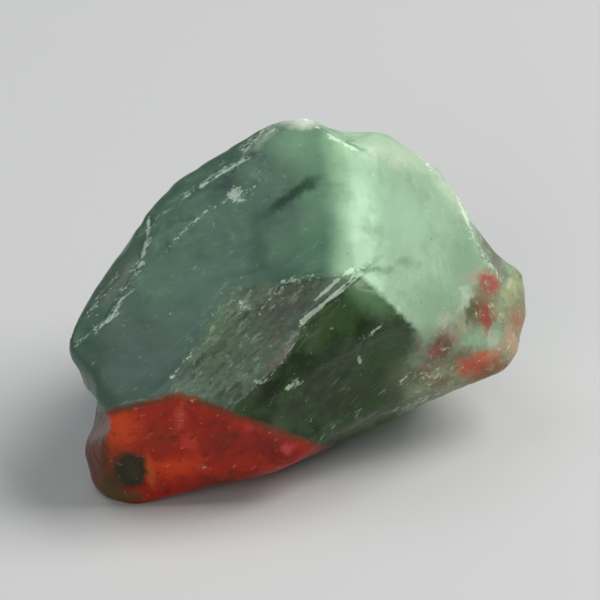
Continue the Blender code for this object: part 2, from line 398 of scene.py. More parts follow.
roughen("rippled", 0.07, "WOOD", 5.0, 1.0, wood_type="RINGNOISE", turbulence=4.0, noise_scale=1.5)
roughen("crushed", 0.20, "CLOUDS", 0.45, 1.6, noise_depth=3, noise_type="HARD_NOISE")

# Bruised edges: where the stone was knocked, its skin is crushed and shows white. Values
# kept in the mesh say how close each point lies to an edge, a bruise or a crack.
CRACKS = {
    # corners, how white it is
    "keel_top": (((5.3, 13.4), (2.2, 10.9), (0.2, 9.2)), 2.1),
    "keel_top_upper": (((4.4, 13.7), (3.0, 12.6), (1.2, 10.9)), 1.8),
    "fold_top": (((-2.0, 12.0), (-0.9, 12.7), (1.4, 12.9)), 0.9),
    "fold_left": (((-1.6, 12.3), (-2.6, 11.4), (-3.3, 10.3)), 0.9),
    "crest_ridge": (((0.5, 26.7), (2.2, 25.5), (4.0, 24.4), (5.6, 23.5)), 1.1),
    "crest": (((10.4, 23.7), (12.3, 21.7), (13.6, 20.2), (14.4, 18.4), (15.0, 16.8), (17.6, 12.6)), 0.95),
    "scoop_slash": (((7.7, 9.6), (6.9, 8.8), (5.9, 8.0)), 1.3),
    "scoop_crescent": (((6.0, 7.9), (5.1, 7.2), (4.9, 6.4), (5.3, 5.6), (6.1, 5.1)), 0.8),
    "yellow_streak": (((-6.9, 10.6), (-7.7, 9.4), (-8.7, 8.0)), 1.0),
    "lower_streak": (((-8.7, 7.2), (-9.8, 5.9), (-10.9, 4.5)), 0.95),
    "rim": (((-8.6, 20.8), (-6.4, 22.2), (-4.8, 23.1)), 1.45),
    "rim_mid": (((-13.1, 18.1), (-13.1, 16.6), (-13.6, 14.6)), 1.5),
    "rim_low": (((-15.3, 11.0), (-16.2, 9.4), (-17.6, 8.4)), 0.95),
}
CRACK_REACH = 0.34
EDGE_ROUNDS = 20
EDGE_HEIGHT = 0.04
ARRIS_ROUNDS = 8
ARRIS_HEIGHT = 0.03
TRIANGLES = 190000


def closest_line(lines):
    """How much each point belongs to the nearest of these lines: 0 away from all of them."""
    most = np.zeros(len(across))
    for corners, reach, white in lines:
        share = white * np.clip(1 - np.abs(beside_line(corners)) / reach, 0, 1)
        most = np.maximum(most, share)
    return most * in_front


def note(name, values):
    """Keeps a value for each point of the stone, for its finish to read."""
    kept = stone.data.attributes.new(name, "FLOAT", "POINT")
    kept.data.foreach_set("value", values.astype(np.float32))


across, upward, in_front = seen_places()
bruises = [(corners, half_width, white) for corners, half_width, _, white in BRUISED_LINES.values()]
cracks = [(corners, CRACK_REACH, white) for corners, white in CRACKS.values()]
note("below_keel", beside_line(LEDGES["keel"][0]))
note("struck", closest_line(bruises))
note("cracked", closest_line(cracks))
note("edges", standing_out(EDGE_ROUNDS) / EDGE_HEIGHT)
note("arrises", standing_out(ARRIS_ROUNDS) / ARRIS_HEIGHT)
kept_share = TRIANGLES / (2 * len(stone.data.polygons))
finish_with(stone, "DECIMATE", "fewer_on_flats", ratio=kept_share)
stone.data.update()
bpy.ops.object.shade_smooth()

# The stone's colour: milky and grey-green chalcedony, dark green where the inside shows,
# with red iron oxide in seams and blots. Bruises are white, because they scatter light.
# Patterns are laid out in millimetres across, up and towards the front.
finish = bpy.data.materials.new("bloodstone_chalcedony")
finish.use_nodes = True
tree = finish.node_tree
surface = tree.nodes["Principled BSDF"]


def put(tree, kind, sockets, **settings):
    """Adds a shader node. Each socket gets a plain value, or is joined to another socket."""
    node = tree.nodes.new("ShaderNode" + kind)
    for setting, value in settings.items():
        setattr(node, setting, value)
    for socket, value in sockets.items():
        if isinstance(value, bpy.types.NodeSocket):
            tree.links.new(value, node.inputs[socket])
        else:
            node.inputs[socket].default_value = value
    return node


def worked_out(tree, operation, first, second=0.0):
    """What a Math node gives for one or two numbers."""
    return put(tree, "Math", {0: first, 1: second}, operation=operation).outputs[0]


def moved(tree, operation, first, second):
    """What a Vector Math node gives for two places or colours."""
    return put(tree, "VectorMath", {0: first, 1: second}, operation=operation).outputs[0]


def rise(tree, value, low, high):
    """0 at low and 1 at high, with a smooth rise between them."""
    sockets = {"Value": value, "From Min": low, "From Max": high}
    return put(tree, "MapRange", sockets, interpolation_type="SMOOTHSTEP").outputs[0]


def cloudy(tree, point, size, detail=3.0, roughness=0.55):
    """Noise whose clouds are about this many millimetres wide."""
    sockets = {"Vector": point, "Scale": 1 / size, "Detail": detail, "Roughness": roughness}
    return put(tree, "TexNoise", sockets)


def new_group(name, inputs, output):
    """An empty effect, with its named inputs and its one output."""
    group = bpy.data.node_groups.new(name, "ShaderNodeTree")
    for socket, kind in inputs.items():
        group.interface.new_socket(socket, in_out="INPUT", socket_type="NodeSocket" + kind)
    group.interface.new_socket(output, in_out="OUTPUT", socket_type="NodeSocketFloat")
    given = group.nodes.new("NodeGroupInput").outputs
    return group, given, group.nodes.new("NodeGroupOutput").inputs[0]


def build_seam():
    """Everything on one side of a plane through the stone, with a soft border."""
    inputs = {"Point": "Vector", "Through": "Vector", "Towards": "Vector", "Softness": "Float"}
    group, given, result = new_group("side_of_seam", inputs, "Share")
    from_seam = moved(group, "SUBTRACT", given["Point"], given["Through"])
    depth = put(group, "VectorMath", {0: from_seam, 1: given["Towards"]}, operation="DOT_PRODUCT")
    half = worked_out(group, "MULTIPLY", given["Softness"], 0.5)
    under = worked_out(group, "MULTIPLY", given["Softness"], -0.5)
    group.links.new(rise(group, depth.outputs["Value"], under, half), result)
    return group


def build_blot():
    """A blot inside the stone, the shape of an egg of this size, with a soft border."""
    inputs = {"Point": "Vector", "Centre": "Vector", "Turn": "Vector", "Size": "Vector"}
    inputs["Softness"] = "Float"
    group, given, result = new_group("blot", inputs, "Share")
    sockets = {
        "Vector": given["Point"],
        "Location": given["Centre"],
        "Rotation": given["Turn"],
        "Scale": given["Size"],
    }
    egg = put(group, "Mapping", sockets, vector_type="TEXTURE").outputs[0]
    out = put(group, "VectorMath", {0: egg}, operation="LENGTH").outputs["Value"]
    core = worked_out(group, "SUBTRACT", 1.0, given["Softness"])
    rim = worked_out(group, "ADD", 1.0, worked_out(group, "MULTIPLY", given["Softness"], 0.5))
    group.links.new(rise(group, out, rim, core), result)
    return group


def build_streaks():
    """Streaks along a direction: noise drawn out along it."""
    inputs = {"Point": "Vector", "Turn": "Vector", "Size": "Vector", "From": "Float", "To": "Float"}
    group, given, result = new_group("streaks", inputs, "Share")
    sockets = {"Vector": given["Point"], "Rotation": given["Turn"], "Scale": given["Size"]}
    drawn = put(group, "Mapping", sockets, vector_type="TEXTURE").outputs[0]
    noise = cloudy(group, drawn, 1.0, 4.0, 0.6)
    group.links.new(rise(group, noise.outputs["Fac"], given["From"], given["To"]), result)
    return group


def build_scratches():
    """Hairlines: the thin contour of drawn-out noise, broken up along its length."""
    inputs = {"Point": "Vector", "Turn": "Vector", "Size": "Vector", "Width": "Float"}
    group, given, result = new_group("scratches", inputs, "Share")
    sockets = {"Vector": given["Point"], "Rotation": given["Turn"], "Scale": given["Size"]}
    drawn = put(group, "Mapping", sockets, vector_type="TEXTURE").outputs[0]
    noise = cloudy(group, drawn, 1.0, 2.0, 0.5)
    off_line = worked_out(group, "ABSOLUTE", worked_out(group, "SUBTRACT", noise.outputs["Fac"], 0.5))
    line = rise(group, off_line, given["Width"], 0.0)
    gaps = rise(group, cloudy(group, given["Point"], 2.2).outputs["Fac"], 0.54, 0.64)
    group.links.new(worked_out(group, "MULTIPLY", line, gaps), result)
    return group


def build_specks():
    """Grains of a given spacing. Only some of them show."""
    inputs = {"Point": "Vector", "Spacing": "Float", "Reach": "Float", "Shown": "Float"}
    group, given, result = new_group("specks", inputs, "Share")
    scale = worked_out(group, "DIVIDE", 1.0, given["Spacing"])
    cells = put(group, "TexVoronoi", {"Vector": given["Point"], "Scale": scale, "Randomness": 1.0})
    grain = rise(group, cells.outputs["Distance"], given["Reach"], 0.0)
    luck = put(group, "SeparateColor", {0: cells.outputs["Color"]}).outputs[0]
    shown = worked_out(group, "LESS_THAN", luck, given["Shown"])
    group.links.new(worked_out(group, "MULTIPLY", grain, shown), result)
    return group


seam, blot, streaks = build_seam(), build_blot(), build_streaks()
scratches, specks = build_scratches(), build_specks()


def share_of(effect, **sockets):
    """The share that one of the effects above gives, as a socket."""
    node = tree.nodes.new("ShaderNodeGroup")
    node.node_tree = effect
    for socket, value in sockets.items():
        if isinstance(value, bpy.types.NodeSocket):
            tree.links.new(value, node.inputs[socket])
        else:
            node.inputs[socket].default_value = value
    return node.outputs[0]


def tinted(share, under, over):
    """One colour laid over another by a share from 0 to 1."""
    if not isinstance(under, bpy.types.NodeSocket):
        under = (*under, 1.0)
    if not isinstance(over, bpy.types.NodeSocket):
        over = (*over, 1.0)
    return put(tree, "Mix", {0: share, 6: under, 7: over}, data_type="RGBA").outputs[2]


def both(*shares):
    """The share where all of these apply."""
    share = shares[0]
    for other in shares[1:]:
        share = worked_out(tree, "MULTIPLY", share, other)
    return share


def either(*shares):
    """The share where any of these applies."""
    share = shares[0]
    for other in shares[1:]:
        share = worked_out(tree, "MAXIMUM", share, other)
    return share


def clouds(point, size, low, high, detail=4.0, roughness=0.6):
    """The share of a patchy second colour, in clouds of this size."""
    return rise(tree, cloudy(tree, point, size, detail, roughness).outputs["Fac"], low, high)


def frayed(point, size, reach):
    """The same point, shaken by clouds of this size, so that what is drawn on it is ragged."""
    noise = cloudy(tree, point, size, 5.0, 0.65).outputs["Color"]
    shake = moved(tree, "SUBTRACT", noise, (0.5, 0.5, 0.5))
    return moved(tree, "ADD", point, moved(tree, "MULTIPLY", shake, (reach, reach, reach)))


def pointing(degrees):
    """The direction at this angle across the front view."""
    return (math.cos(math.radians(degrees)), math.sin(math.radians(degrees)), 0.0)


def seam_side(point, through, degrees, softness):
    """The side of a seam, seen edge-on from the front, that lies in this direction."""
    towards = pointing(degrees)
    return share_of(seam, Point=point, Through=(*through, 0.0), Towards=towards, Softness=softness)


def streaky(point, degrees, size, low, high):
    """Streaks that run at this angle across the front view."""
    turn = (0.0, 0.0, math.radians(degrees))
    return share_of(streaks, Point=point, Turn=turn, Size=size, From=low, To=high)


def seen_blot(point, across, upward, length, height, degrees, softness):
    """A blot around the skin that shows at this place from the front."""
    middle_height = 10
    steps_inward = (0, 0.05, 0.10, 0.15, 0.20)
    spots = (
        seen_at(across * (1 - step), upward + (middle_height - upward) * step)
        for step in steps_inward
    )
    skin, _ = next(spot for spot in spots if spot)
    centre = (across, upward, -skin.dot(AWAY) / MM)
    turn = (0.0, 0.0, math.radians(degrees))
    size = (length, height, 1.6 * max(length, height))
    return share_of(blot, Point=point, Centre=centre, Turn=turn, Size=size, Softness=softness)


def lay_seen_blots(colour, point, blots, patchy=1.0):
    """The colour with a table of blots laid over it, one after the other."""
    for where_seen, size, degrees, softness, tone, strength in blots.values():
        share = seen_blot(point, *where_seen, *size, degrees, softness)
        colour = tinted(both(share, strength, patchy), colour, tone)
    return colour


where = put(tree, "TexCoord", {}).outputs["Object"]
PER_MM = (1 / MM, 1 / MM, 1 / MM)
turned_to_front = {"Vector": where, "Rotation": (VIEW_TILT - math.pi / 2, 0, 0), "Scale": PER_MM}
place = put(tree, "Mapping", turned_to_front, vector_type="POINT").outputs[0]
wavering = frayed(place, 5.0, 2.5)
ragged = frayed(place, 1.8, 2.0)
torn = frayed(place, 0.7, 0.9)
edges = put(tree, "Attribute", {}, attribute_name="edges").outputs["Fac"]
arrises = put(tree, "Attribute", {}, attribute_name="arrises").outputs["Fac"]
struck = put(tree, "Attribute", {}, attribute_name="struck").outputs["Fac"]
cracked = put(tree, "Attribute", {}, attribute_name="cracked").outputs["Fac"]
below_keel = put(tree, "Attribute", {}, attribute_name="below_keel").outputs["Fac"]
fine_cloud = cloudy(tree, place, 1.6, 6.0, 0.65).outputs["Fac"]

# The body: grey-green, bluer low on the left, brighter below the top.
GREY_GREEN = (0.058, 0.118, 0.084)
MOSS_GREEN = (0.072, 0.140, 0.088)
BLUE_GREY = (0.062, 0.096, 0.080)
LEAF_GREEN = (0.150, 0.290, 0.165)
DEEP_GREEN = (0.034, 0.082, 0.050)
STREAK_GREEN = (0.006, 0.040, 0.016)
body_blots = {
    # place, size, slant, softness, colour, strength
    "blue_low_left": ((-13.5, 6.0), (6.5, 5.5), 0, 0.9, BLUE_GREY, 0.9),
    "blue_mid": ((-8.5, 11.5), (3.5, 5.0), -20, 0.9, (0.070, 0.124, 0.100), 0.6),
    "leaf_green_top": ((0.4, 24.6), (3.6, 2.6), -20, 0.9, LEAF_GREEN, 1.0),
    "leaf_green_slope": ((1.4, 20.5), (1.8, 6.5), 0, 0.9, (0.110, 0.220, 0.125), 0.8),
    "moss_patch": ((0.6, 14.8), (2.6, 2.6), 0, 0.8, (0.062, 0.150, 0.084), 0.7),
    "deep_green_mid": ((-3.7, 15.5), (0.9, 4.0), 0, 0.9, DEEP_GREEN, 0.75),
    "deep_green_low": ((-2.4, 13.4), (2.8, 1.2), 0, 0.9, DEEP_GREEN, 0.6),
    "deep_green_high": ((-6.3, 21.0), (1.9, 1.0), 30, 0.8, (0.030, 0.060, 0.044), 0.75),
    "dark_streak": ((-0.9, 19.9), (3.1, 0.65), 33, 0.8, STREAK_GREEN, 1.0),
    "dark_streak_head": ((0.7, 21.0), (0.8, 0.55), 25, 0.9, STREAK_GREEN, 0.6),
    "rim_strip_high": ((-11.4, 18.6), (2.8, 0.8), 46, 0.7, (0.100, 0.190, 0.120), 0.7),
    "rim_strip_low": ((-15.6, 13.0), (4.2, 0.8), 54, 0.7, (0.090, 0.118, 0.086), 0.8),
    # Painted shade: the dark hollow beside the white bruise on the rim.
    "rim_bruise_shade": ((-6.6, 21.0), (1.3, 0.4), 35, 0.8, (0.020, 0.040, 0.030), 0.7),
    "apex": ((-0.4, 27.0), (2.8, 1.0), -6, 0.9, (0.740, 0.780, 0.660), 0.95),
    "apex_left": ((-3.2, 25.0), (1.9, 0.5), 38, 0.9, (0.300, 0.380, 0.290), 0.8),
}
body = tinted(clouds(place, 7.0, low=0.38, high=0.62), GREY_GREEN, MOSS_GREEN)
body = tinted(both(rise(tree, fine_cloud, low=0.52, high=0.72), 0.55), body, DEEP_GREEN)
body = tinted(both(rise(tree, fine_cloud, low=0.48, high=0.28), 0.30), body, LEAF_GREEN)
colour = lay_seen_blots(body, ragged, body_blots)

# The milky part: pale green from the ridge to the right end, palest along the ridge.
# That palest tone is milky stone, and partly a painted highlight: the soft glow of light on the rounded
# ridge.
MILKY_AND_RIDGE_HIGHLIGHT = (0.370, 0.610, 0.375)
PALE_GREEN = (0.300, 0.450, 0.300)
DULL_GREEN = (0.210, 0.330, 0.210)
WHITISH = (0.480, 0.600, 0.430)
milky_blots = {
    "crest": ((8.2, 23.7), (4.6, 1.3), -16, 0.8, WHITISH, 0.85),
    "crest_right": ((13.0, 20.4), (3.6, 0.8), -52, 0.8, WHITISH, 0.8),
    "crest_shadow": ((4.6, 24.6), (2.0, 0.22), -32, 0.9, (0.130, 0.260, 0.140), 0.8),
    "dull_right": ((14.4, 14.0), (1.8, 3.6), 15, 0.9, DULL_GREEN, 0.8),
    "dull_low": ((11.9, 10.6), (3.2, 2.3), 10, 0.9, DULL_GREEN, 0.85),
    "column_marks": ((7.2, 13.7), (1.1, 0.45), 15, 0.8, (0.170, 0.270, 0.170), 0.75),
    "column_marks_right": ((9.2, 14.2), (1.2, 0.5), 5, 0.9, (0.190, 0.290, 0.190), 0.7),
    "column_foot": ((4.6, 14.9), (2.6, 2.2), 0, 1.0, (0.300, 0.460, 0.300), 0.7),
    "column_head": ((4.9, 22.4), (2.4, 1.7), -20, 0.9, (0.270, 0.460, 0.270), 0.85),
    "bright_slope": ((9.4, 18.0), (2.6, 3.4), 20, 0.9, (0.340, 0.520, 0.350), 0.8),
    "column_speck": ((4.6, 16.6), (0.8, 0.7), 0, 0.9, (0.430, 0.640, 0.430), 0.6),
}
milky = tinted(seam_side(wavering, (7.0, 15), 0, 2.6), MILKY_AND_RIDGE_HIGHLIGHT, PALE_GREEN)
milky = tinted(both(clouds(place, 3.2, low=0.50, high=0.72, detail=5.0), 0.7), milky, DULL_GREEN)
milky = tinted(both(streaky(ragged, 88, (3.0, 0.6, 0.6), low=0.52, high=0.68), 0.25), milky, WHITISH)
milky = lay_seen_blots(milky, ragged, milky_blots)
milky_side = seam_side(frayed(place, 6.0, 2.6), (3.1, 14), 2, 3.0)
colour = tinted(milky_side, colour, milky)

# The right end: cream, dull green and brown mottling, with red and brown spots.
CREAM = (0.310, 0.300, 0.180)
END_GREEN = (0.200, 0.300, 0.185)
UMBER = (0.110, 0.070, 0.036)
SALMON = (0.420, 0.190, 0.120)
end_blots = {
    "pink_high": ((15.0, 13.0), (1.3, 0.6), 20, 0.9, (0.400, 0.300, 0.230), 0.8),
    "pale_halo": ((14.3, 11.2), (0.6, 1.4), -25, 0.9, (0.430, 0.540, 0.400), 0.9),
    "red_high": ((16.4, 12.5), (1.15, 1.4), -20, 0.6, (0.370, 0.085, 0.060), 1.0),
    "brown_way": ((15.7, 10.6), (1.2, 2.4), -12, 0.9, (0.180, 0.140, 0.080), 0.8),
    "olive_brown": ((15.0, 10.1), (1.4, 1.1), 30, 0.9, (0.085, 0.080, 0.036), 0.95),
    "brown_mid": ((16.1, 9.6), (0.85, 1.5), 0, 0.7, (0.260, 0.066, 0.040), 1.0),
    "green_mid": ((15.2, 7.4), (1.2, 1.1), 20, 0.9, (0.260, 0.420, 0.270), 0.95),
    "white_mid": ((16.8, 7.5), (0.8, 1.2), 10, 0.9, (0.370, 0.440, 0.330), 0.9),
    "brown_between": ((13.6, 6.0), (2.6, 0.8), 20, 0.9, (0.160, 0.120, 0.066), 0.8),
    "brown_heel": ((12.1, 7.1), (2.0, 1.2), 50, 0.8, (0.150, 0.058, 0.044), 1.0),
    "red_heel": ((11.6, 6.6), (0.8, 0.5), 50, 0.8, (0.300, 0.080, 0.060), 0.8),
    "pink_heel": ((13.1, 8.3), (0.9, 0.8), 40, 0.9, (0.330, 0.230, 0.190), 0.85),
    "pink_halo": ((12.4, 9.4), (0.9, 0.5), 20, 0.9, (0.420, 0.420, 0.310), 0.8),
    "pink_left": ((10.1, 7.0), (0.8, 1.1), 20, 0.9, (0.260, 0.200, 0.160), 0.8),
    "red_low": ((15.3, 5.5), (2.1, 1.1), 18, 0.6, (0.460, 0.090, 0.045), 1.0),
    "salmon_low": ((17.0, 6.3), (1.1, 0.7), 40, 0.9, SALMON, 0.9),
    "heel_mottle": ((10.3, 4.6), (1.7, 1.1), 10, 0.8, UMBER, 0.7),
    "heel_olive": ((12.2, 3.9), (1.8, 0.6), 20, 0.8, (0.150, 0.130, 0.050), 0.9),
    "lip": ((16.4, 4.8), (2.6, 0.8), 28, 0.8, (0.240, 0.090, 0.036), 0.95),
    "heel_rim": ((10.6, 2.7), (3.0, 0.7), 22, 0.8, (0.190, 0.190, 0.150), 0.8),
    "rim_high": ((18.4, 12.2), (0.8, 1.5), -20, 0.8, (0.380, 0.420, 0.220), 0.9),
    "rim_mid": ((18.9, 9.6), (1.0, 1.7), 0, 0.8, (0.300, 0.165, 0.090), 0.95),
    # Pink-cream on the right rim: partly the stone's pale crust, partly a painted highlight along that edge.
    "rim_low": ((18.5, 7.2), (0.9, 1.9), 16, 0.8, (0.430, 0.280, 0.180), 0.95),
    "grey_strip": ((16.7, 15.1), (3.0, 0.8), -57, 0.8, (0.180, 0.185, 0.140), 0.95),
}
mottled = tinted(clouds(torn, 1.5, low=0.42, high=0.60), END_GREEN, CREAM)
mottled = tinted(both(clouds(torn, 0.9, low=0.54, high=0.68, detail=5.0), 0.6), mottled, UMBER)
right_end = both(
    seam_side(ragged, (9.7, 6.0), -8, 2.4),
    seam_side(ragged, (13.2, 9.8), -48, 2.4),
)
colour = tinted(right_end, colour, mottled)
patchy = clouds(torn, 0.8, low=0.28, high=0.46, detail=5.0)
colour = lay_seen_blots(colour, frayed(torn, 1.4, 2.0), end_blots, patchy)
colour = tinted(both(right_end, clouds(torn, 0.6, low=0.58, high=0.70, detail=5.0), 0.6), colour, WHITISH)

# The splintered band under the brow: brownish grey, with pale and yellow-green splinters.
BAND_GREY = (0.070, 0.108, 0.070)
BAND_GREEN = (0.094, 0.130, 0.088)
BAND_BROWN = (0.068, 0.068, 0.052)
BAND_DARK = (0.034, 0.052, 0.034)
SPLINTER_PALE = (0.270, 0.350, 0.245)
SPLINTER_YELLOW = (0.220, 0.315, 0.175)
band_blots = {
    "brown_high": ((-1.4, 10.4), (3.0, 1.6), 30, 0.9, BAND_BROWN, 0.85),
    "brown_low": ((-2.4, 7.6), (2.2, 1.0), 45, 0.9, (0.070, 0.078, 0.054), 0.7),
    "rusty_streak": ((-0.9, 6.4), (1.8, 0.4), 48, 0.9, (0.100, 0.052, 0.040), 0.8),
    "lump_high": ((-0.4, 7.9), (1.0, 0.6), 60, 0.8, (0.250, 0.260, 0.220), 0.9),
    "lump_mid": ((-1.1, 6.6), (1.3, 0.7), 58, 0.9, (0.170, 0.145, 0.122), 0.9),
    "lump_low": ((-2.1, 5.4), (1.3, 0.5), 45, 0.9, (0.130, 0.092, 0.078), 0.85),
    "pale_cluster": ((-4.8, 10.7), (0.8, 0.6), 20, 0.9, (0.190, 0.250, 0.170), 0.8),
    "yellow_haze": ((-6.4, 7.8), (3.2, 1.5), 52, 0.9, (0.094, 0.138, 0.074), 0.7),
    "yellow_side": ((-7.6, 9.2), (2.2, 0.9), 56, 0.9, (0.130, 0.190, 0.090), 0.8),
}
front = share_of(seam, Point=wavering, Through=(0.0, 0.0, 2.0), Towards=(0.0, 0.0, 1.0), Softness=5.0)
keel_noise = worked_out(tree, "SUBTRACT", cloudy(tree, place, 1.0, 5.0, 0.65).outputs["Fac"], 0.5)
past_keel = rise(tree, worked_out(tree, "ADD", below_keel, both(keel_noise, 1.2)), -0.15, 0.2)
band = both(
    front,
    worked_out(tree, "SUBTRACT", 1.0, past_keel),
    seam_side(ragged, (-8.4, 7.6), -32, 2.4),
    seam_side(ragged, (1.0, 12.7), -84, 0.7),
)
band_colour = tinted(clouds(torn, 1.6, low=0.40, high=0.60), BAND_GREY, BAND_GREEN)
band_colour = lay_seen_blots(band_colour, ragged, band_blots)
gaps = streaky(torn, 47, (2.8, 0.5, 0.5), low=0.50, high=0.34)
band_colour = tinted(both(gaps, 0.75), band_colour, BAND_DARK)
splinters = streaky(torn, 50, (2.4, 0.36, 0.36), low=0.55, high=0.70)
band_colour = tinted(both(splinters, 0.6), band_colour, SPLINTER_PALE)
colour = tinted(both(band, 0.9), colour, band_colour)
yellow_side = seen_blot(ragged, -7.6, 9.0, 3.4, 1.2, 56, 0.9)
yellow_streaks = both(streaky(torn, 56, (3.4, 0.32, 0.32), low=0.50, high=0.64), yellow_side)
colour = tinted(both(yellow_streaks, 0.9), colour, SPLINTER_YELLOW)

# The dark breaks: olive green under the brow, where the fresh inside shows.
# They face down and to the front, and their near-black tones are partly painted shade.
OLIVE_GREEN = (0.034, 0.070, 0.023)
NEAR_BLACK_AND_SHADE = (0.014, 0.030, 0.010)
MOSSY_DARK = (0.050, 0.090, 0.044)
STREAK_PALE = (0.100, 0.150, 0.090)
dark_blots = {
    "brow": ((5.7, 11.5), (3.2, 1.4), -40, 0.9, (0.100, 0.200, 0.090), 0.95),
    "right": ((7.6, 7.6), (1.7, 2.0), 20, 0.9, (0.042, 0.088, 0.032), 0.8),
    "low": ((4.5, 2.6), (3.0, 1.6), 20, 0.9, (0.030, 0.040, 0.018), 0.8),
    "far": ((8.8, 4.6), (1.6, 2.2), -20, 0.9, (0.115, 0.130, 0.074), 0.85),
    "beside_keel": ((-2.6, 3.2), (2.6, 0.7), 44, 0.9, (0.010, 0.016, 0.005), 0.9),
    "below_keel": ((-0.5, 1.9), (1.8, 1.1), 30, 0.9, (0.016, 0.022, 0.008), 0.8),
    "bottom_rim": ((5.6, 0.6), (3.4, 0.6), 24, 0.8, (0.150, 0.160, 0.120), 0.6),
}
dark = tinted(clouds(place, 3.6, low=0.42, high=0.62, detail=5.0), OLIVE_GREEN, NEAR_BLACK_AND_SHADE)
dark = tinted(both(rise(tree, fine_cloud, low=0.48, high=0.30), 0.4), dark, MOSSY_DARK)
dark = lay_seen_blots(dark, ragged, dark_blots)
pale_streaks = streaky(torn, 44, (3.0, 0.26, 0.26), low=0.60, high=0.72)
dark = tinted(both(pale_streaks, 0.4), dark, STREAK_PALE)
dark_break = both(
    front,
    past_keel,
    seam_side(torn, (7.0, 11.4), -134, 0.6),
    seam_side(ragged, (9.6, 5.0), 172, 2.0),
)
colour = tinted(dark_break, colour, dark)

# The red: iron oxide in the low front corner, orange at its left and crimson at its tip.
# Several of its pink spots and its pink flecks are painted highlights, where light catches glossy lumps.
BRICK = (0.330, 0.014, 0.0008)
CRIMSON = (0.310, 0.012, 0.0020)
OX_BLOOD = (0.150, 0.008, 0.0008)
RUST = (0.300, 0.070, 0.012)
RED_BORDER = (0.150, 0.034, 0.012)
PINK_HIGHLIGHT = (0.540, 0.064, 0.026)
red_blots = {
    "orange_side": ((-15.6, 0.2), (2.0, 2.4), 0, 0.9, (0.580, 0.052, 0.0016), 0.95),
    "orange_low": ((-10.8, -3.3), (3.0, 1.0), 8, 0.9, (0.560, 0.042, 0.0014), 0.9),
    "pink_high": ((-13.4, 2.4), (1.2, 0.6), 10, 0.9, (0.500, 0.060, 0.030), 0.7),
    # The next three pink blots are painted highlights, where light catches glossy lumps of the red.
    "pink_ridge_highlight": ((-10.2, 1.2), (0.6, 1.6), -10, 0.9, (0.520, 0.060, 0.034), 0.8),
    "pink_mid_highlight": ((-9.4, -1.2), (0.7, 1.1), 20, 0.9, (0.520, 0.040, 0.020), 0.8),
    "pink_right_highlight": ((-4.0, 0.3), (0.9, 0.7), 0, 0.9, (0.500, 0.040, 0.024), 0.8),
    "dark_mid": ((-6.6, -1.0), (1.9, 1.8), -30, 0.9, (0.190, 0.012, 0.001), 0.85),
    "brown_mid": ((-11.9, -0.8), (1.7, 1.0), 10, 0.9, (0.240, 0.026, 0.003), 0.7),
    "dark_tip": ((-2.0, -1.8), (2.8, 1.3), -20, 0.9, (0.150, 0.004, 0.002), 0.85),
    # A painted highlight: a pink spot on a glossy lump at the tip.
    "crimson_tip_highlight": ((-1.0, -1.5), (0.8, 0.5), -20, 0.9, (0.540, 0.070, 0.075), 0.6),
    "dark_low": ((-6.6, -4.7), (3.8, 0.8), 10, 0.9, (0.100, 0.007, 0.001), 0.85),
}
red = tinted(clouds(torn, 2.2, low=0.42, high=0.58), BRICK, CRIMSON)
red = lay_seen_blots(red, ragged, red_blots)
red = tinted(both(clouds(torn, 1.1, low=0.52, high=0.68, detail=5.0), 0.7), red, OX_BLOOD)
# Pink flecks in small clusters: painted highlights of light on the glossy red.
red = tinted(both(clouds(torn, 0.7, low=0.57, high=0.70, detail=5.0), 0.55), red, PINK_HIGHLIGHT)


def red_side(softness, inset):
    """The part of the stone that is red, or that lies this much further inside it."""
    return both(
        seam_side(torn, (-14.0, 2.3 - inset), -76, softness),
        seam_side(torn, (RED_TOP_END[0], RED_TOP_END[1] - inset), -111, softness),
        share_of(seam, Point=ragged, Through=(0, -4.0, 6.93), Towards=(0, -0.5, 0.866), Softness=2.0),
    )


red_part = red_side(0.4, 0.0)
colour = tinted(red_part, colour, tinted(red_side(0.7, 0.55), RED_BORDER, red))

# What lies in the red: an olive spot with an orange-brown border, and a brown left side.
OLIVE = (0.026, 0.020, 0.0060)
BROWN_SIDE = (0.064, 0.018, 0.0028)
RUSTY_SIDE = (0.160, 0.030, 0.004)
spot_blots = {
    "brown_round": ((-15.7, -3.6), (1.9, 2.6), 0, 0.9, (0.130, 0.036, 0.006), 0.85),
    "rust_crescent": ((-12.9, -3.6), (0.55, 1.7), 8, 0.8, (0.480, 0.080, 0.008), 0.9),
    "olive_spot": ((-14.6, -3.5), (1.65, 1.95), 8, 0.30, OLIVE, 1.0),
    "olive_side": ((-16.0, -4.8), (1.2, 1.5), 20, 0.8, (0.050, 0.034, 0.009), 0.85),
    "olive_lighter": ((-14.4, -3.6), (0.6, 1.0), 10, 0.9, (0.046, 0.040, 0.016), 0.7),
    "olive_below": ((-14.9, -5.9), (1.9, 0.6), 4, 0.9, (0.070, 0.056, 0.016), 0.85),
    "olive_corner": ((-16.5, -5.6), (1.1, 1.1), 0, 0.9, (0.090, 0.070, 0.020), 0.9),
}
left_side = both(seam_side(torn, (-16.6, 0), 186, 0.8), seam_side(ragged, (-17, 1.6), -90, 1.2))
brown_side = tinted(clouds(torn, 0.9, low=0.46, high=0.62), BROWN_SIDE, RUSTY_SIDE)
colour = tinted(both(left_side, 0.95), colour, brown_side)
colour = lay_seen_blots(colour, frayed(torn, 2.2, 1.2), spot_blots)

